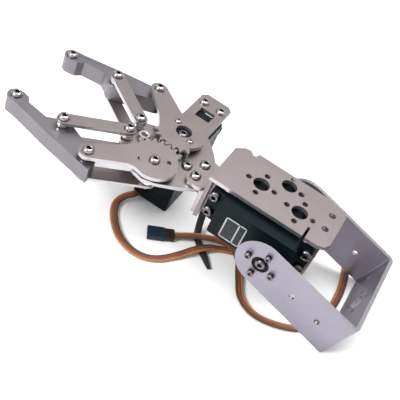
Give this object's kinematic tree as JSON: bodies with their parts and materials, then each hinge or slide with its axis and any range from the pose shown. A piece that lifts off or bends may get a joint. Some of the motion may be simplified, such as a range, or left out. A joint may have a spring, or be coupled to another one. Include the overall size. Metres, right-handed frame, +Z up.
{
  "type": "robot arm",
  "caption": "Robot arm end with a geared two-finger gripper, a tilt servo in a folded bracket, a long U bracket and loose servo leads.",
  "frame": {"origin": "centre of the rigid parts' box, on the surface that the arm lies on", "axes": "+X from the fingertips to the U bracket; +Y along the wrist's tilt axis, away from its horn; +Z up"},
  "size_m": [0.1942, 0.095, 0.0521],
  "materials": {
    "bracket_aluminium": "satin, bead blasted",
    "finger_aluminium": "satin, cut edges",
    "bright_steel": "bright, smooth",
    "servo_black": "satin moulded",
    "horn_black": "satin moulded",
    "motor_steel": "plain can",
    "gear_brass": "turned",
    "circuit_board": "solder mask",
    "lead_ribbon": "smooth insulation in brown, red and orange",
    "plug_plastic": "moulded",
    "tie_nylon": "moulded"
  },
  "bodies": {
    "wrist": {"servo_bracket": "bracket_aluminium", "wrist_l_bracket": "bracket_aluminium", "gripper_base_plate": "bracket_aluminium", "tilt_servo_bottom_case": "servo_black", "tilt_servo_middle_case": "servo_black", "tilt_servo_top_case": "servo_black", "tilt_servo_motor": "motor_steel", "tilt_servo_board": "circuit_board", "grip_servo_bottom_case": "servo_black", "grip_servo_middle_case": "servo_black", "grip_servo_top_case": "servo_black", "grip_servo_motor": "motor_steel", "grip_servo_board": "circuit_board", "rear_pivot_bolt": "bright_steel", "rear_bushing": "gear_brass", "wrist_screw_1": "bright_steel", "wrist_screw_2": "bright_steel", "tail_screw": "bright_steel", "left_link_bolt": "bright_steel", "left_link_spacer": "bright_steel", "left_link_post": "bright_steel", "right_link_bolt": "bright_steel", "right_link_spacer": "bright_steel", "right_link_post": "bright_steel", "left_gear_bolt": "bright_steel", "left_gear_spacer": "bright_steel", "left_gear_post": "bright_steel", "grip_servo_lead": "lead_ribbon", "tilt_servo_lead": "lead_ribbon", "grip_servo_plug": "plug_plastic", "tilt_servo_plug": "plug_plastic", "cable_tie": "tie_nylon"},
    "forearm": {"u_bracket": "bracket_aluminium", "tilt_servo_output_shaft": "gear_brass", "tilt_servo_horn": "horn_black", "tilt_horn_screw": "bright_steel"},
    "right_arm": {"right_gear_arm": "bracket_aluminium", "grip_servo_output_shaft": "gear_brass", "grip_servo_horn": "horn_black", "grip_horn_screw": "bright_steel"},
    "left_arm": {"left_gear_arm": "bracket_aluminium", "left_lower_arm": "bracket_aluminium"},
    "right_link": {"right_upper_link": "bracket_aluminium", "right_lower_link": "bracket_aluminium"},
    "left_link": {"left_upper_link": "bracket_aluminium", "left_lower_link": "bracket_aluminium"},
    "right_finger": {"right_finger": "finger_aluminium", "right_outer_spacer": "bright_steel", "right_inner_spacer": "bright_steel", "right_inner_finger_bolt": "bright_steel", "right_outer_finger_bolt": "bright_steel", "right_tip_screw": "bright_steel"},
    "left_finger": {"left_finger": "finger_aluminium", "left_outer_spacer": "bright_steel", "left_inner_spacer": "bright_steel", "left_inner_finger_bolt": "bright_steel", "left_outer_finger_bolt": "bright_steel", "left_tip_screw": "bright_steel"}
  },
  "joints": [
    {"name": "wrist_tilt", "type": "hinge", "parent": "wrist", "child": "forearm", "pos_m": [0.04503, -0.00913, 0.03072], "axis": [0, -1, 0], "range_deg": [0, 105]},
    {"name": "grip", "type": "hinge", "parent": "wrist", "child": "right_arm", "pos_m": [-0.02134, 0.00522, 0.03827], "axis": [0.113, 0, 0.9936], "range_deg": [-10, 32]},
    {"name": "left_arm_turn", "type": "hinge", "parent": "wrist", "child": "left_arm", "pos_m": [-0.02134, -0.02348, 0.03827], "axis": [0.113, 0, 0.9936], "range_deg": [-32, 10]},
    {"name": "right_link_turn", "type": "hinge", "parent": "wrist", "child": "right_link", "pos_m": [-0.04102, -0.00393, 0.04051], "axis": [0.113, 0, 0.9936], "range_deg": [-10, 32]},
    {"name": "left_link_turn", "type": "hinge", "parent": "wrist", "child": "left_link", "pos_m": [-0.04102, -0.01433, 0.04051], "axis": [0.113, 0, 0.9936], "range_deg": [-32, 10]},
    {"name": "right_finger_turn", "type": "hinge", "parent": "right_arm", "child": "right_finger", "pos_m": [-0.04631, 0.02321, 0.04111], "axis": [0.113, 0, 0.9936], "range_deg": [-32, 10]},
    {"name": "left_finger_turn", "type": "hinge", "parent": "left_arm", "child": "left_finger", "pos_m": [-0.04631, -0.04147, 0.04111], "axis": [0.113, 0, 0.9936], "range_deg": [-10, 32]}
  ],
  "couplings": [
    {"joint": "left_arm_turn", "follows": "grip", "ratio": -1},
    {"joint": "right_link_turn", "follows": "grip", "ratio": 1},
    {"joint": "left_link_turn", "follows": "grip", "ratio": -1},
    {"joint": "right_finger_turn", "follows": "grip", "ratio": -1},
    {"joint": "left_finger_turn", "follows": "grip", "ratio": 1}
  ]
}
